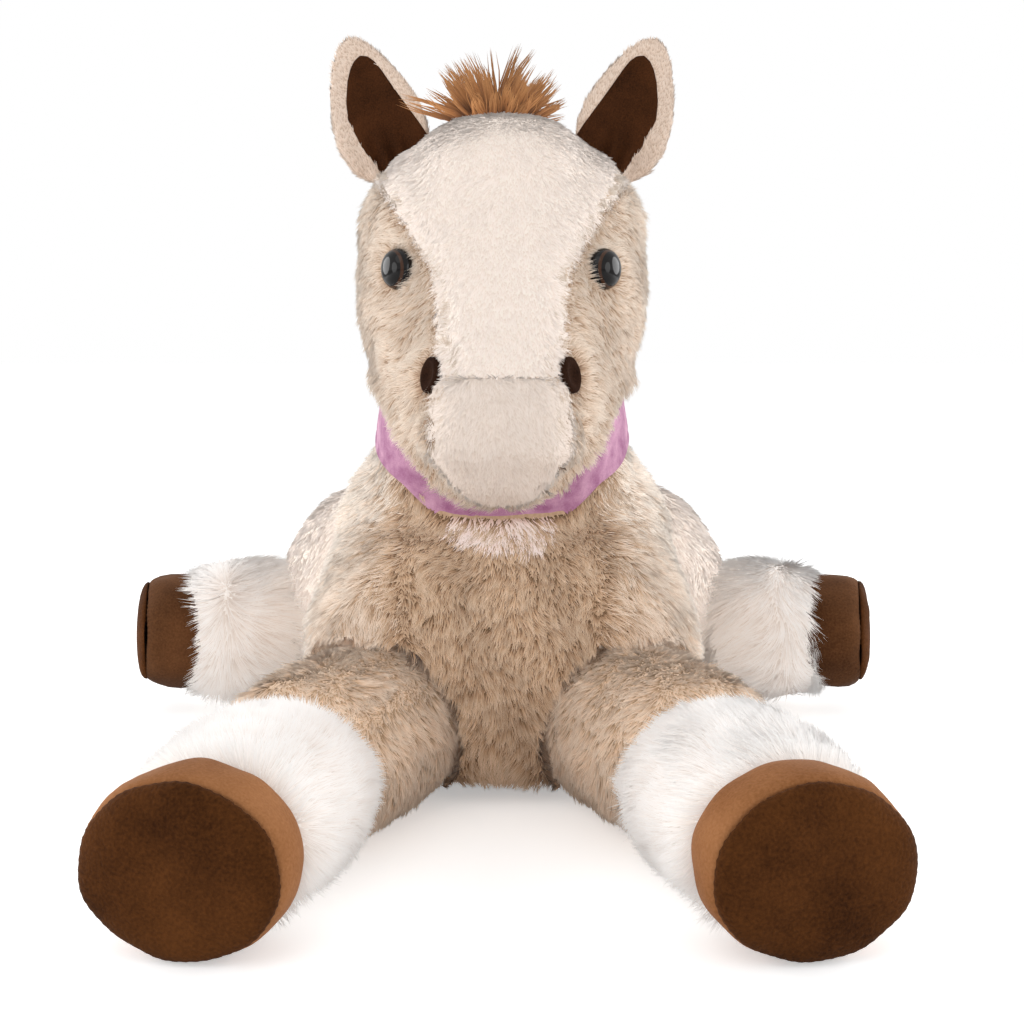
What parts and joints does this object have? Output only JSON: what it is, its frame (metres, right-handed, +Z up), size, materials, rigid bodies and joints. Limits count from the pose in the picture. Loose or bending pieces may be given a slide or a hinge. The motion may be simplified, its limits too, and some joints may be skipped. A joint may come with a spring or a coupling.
{
  "type": "plush horse",
  "caption": "Stuffed plush horse lying on its belly with splayed legs, a nodding head, flexing ears and a ribbon collar.",
  "frame": {"origin": "on the floor under the middle of the bounding box", "axes": "+Z up; the horse looks along -Y, so its left side is at +X"},
  "size_m": [0.4416, 0.5065, 0.3693],
  "materials": {
    "beige_pile": "long beige plush pile",
    "cream_plush": "short cream plush",
    "white_fur": "long white fur",
    "caramel_fur": "long caramel fur",
    "hoof_suede": "brushed suede cloth",
    "sole_suede": "brushed suede cloth",
    "ear_velvet": "velvet",
    "ribbon_velvet": "velvet ribbon",
    "nostril_felt": "felt",
    "eye_plastic": "polished",
    "washer_plastic": "moulded"
  },
  "bodies": {
    "body": {"torso": "beige_pile", "neck": "beige_pile", "mane_neck": "caramel_fur"},
    "collar": {"collar_ribbon": "ribbon_velvet"},
    "head": {"head": "beige_pile", "face_panel": "cream_plush", "muzzle_panel": "cream_plush", "forelock": "caramel_fur", "mane_head": "caramel_fur", "eye_left": "eye_plastic", "eye_right": "eye_plastic", "eye_washer_left": "washer_plastic", "eye_washer_right": "washer_plastic", "nostril_left": "nostril_felt", "nostril_right": "nostril_felt"},
    "ear_left": {"ear_left": "cream_plush", "ear_lining_left": "ear_velvet"},
    "ear_right": {"ear_right": "cream_plush", "ear_lining_right": "ear_velvet"},
    "front_leg_left": {"front_leg_left": "beige_pile", "front_cuff_left": "white_fur", "front_left_hoof_band": "hoof_suede", "front_left_sole": "sole_suede"},
    "front_leg_right": {"front_leg_right": "beige_pile", "front_cuff_right": "white_fur", "front_right_hoof_band": "hoof_suede", "front_right_sole": "sole_suede"},
    "hind_leg_left": {"haunch_left": "cream_plush", "hind_cuff_left": "white_fur", "hind_left_hoof_band": "hoof_suede", "hind_left_sole": "sole_suede"},
    "hind_leg_right": {"haunch_right": "cream_plush", "hind_cuff_right": "white_fur", "hind_right_hoof_band": "hoof_suede", "hind_right_sole": "sole_suede"},
    "tail": {"tail": "caramel_fur"}
  },
  "joints": [
    {"name": "head_turn", "type": "hinge", "parent": "body", "child": "collar", "pos_m": [0, -0.022, 0.176], "axis": [0, -0.454, 0.891], "range_deg": [-25, 25]},
    {"name": "head_nod", "type": "hinge", "parent": "collar", "child": "head", "pos_m": [0, -0.022, 0.176], "axis": [-1, 0, 0], "range_deg": [-2, 14]},
    {"name": "ear_left_flex", "type": "hinge", "parent": "head", "child": "ear_left", "pos_m": [0.055, 0.004, 0.306], "axis": [0.9397, 0, -0.342], "range_deg": [-15, 15]},
    {"name": "ear_right_flex", "type": "hinge", "parent": "head", "child": "ear_right", "pos_m": [-0.055, 0.004, 0.306], "axis": [0.9397, 0, 0.342], "range_deg": [-15, 15]},
    {"name": "front_leg_left_swing", "type": "hinge", "parent": "body", "child": "front_leg_left", "pos_m": [0.051, -0.05, 0.035], "axis": [0, 0, 1], "range_deg": [-6, 24]},
    {"name": "front_leg_right_swing", "type": "hinge", "parent": "body", "child": "front_leg_right", "pos_m": [-0.051, -0.05, 0.035], "axis": [0, 0, 1], "range_deg": [-24, 6]},
    {"name": "hind_leg_left_swing", "type": "hinge", "parent": "body", "child": "hind_leg_left", "pos_m": [0.082, 0.118, 0.043], "axis": [0, 0, 1], "range_deg": [-20, 20]},
    {"name": "hind_leg_right_swing", "type": "hinge", "parent": "body", "child": "hind_leg_right", "pos_m": [-0.082, 0.118, 0.043], "axis": [0, 0, 1], "range_deg": [-20, 20]},
    {"name": "tail_swing", "type": "hinge", "parent": "body", "child": "tail", "pos_m": [0, 0.203, 0.112], "axis": [0, 0, 1], "range_deg": [-18, 18]}
  ]
}
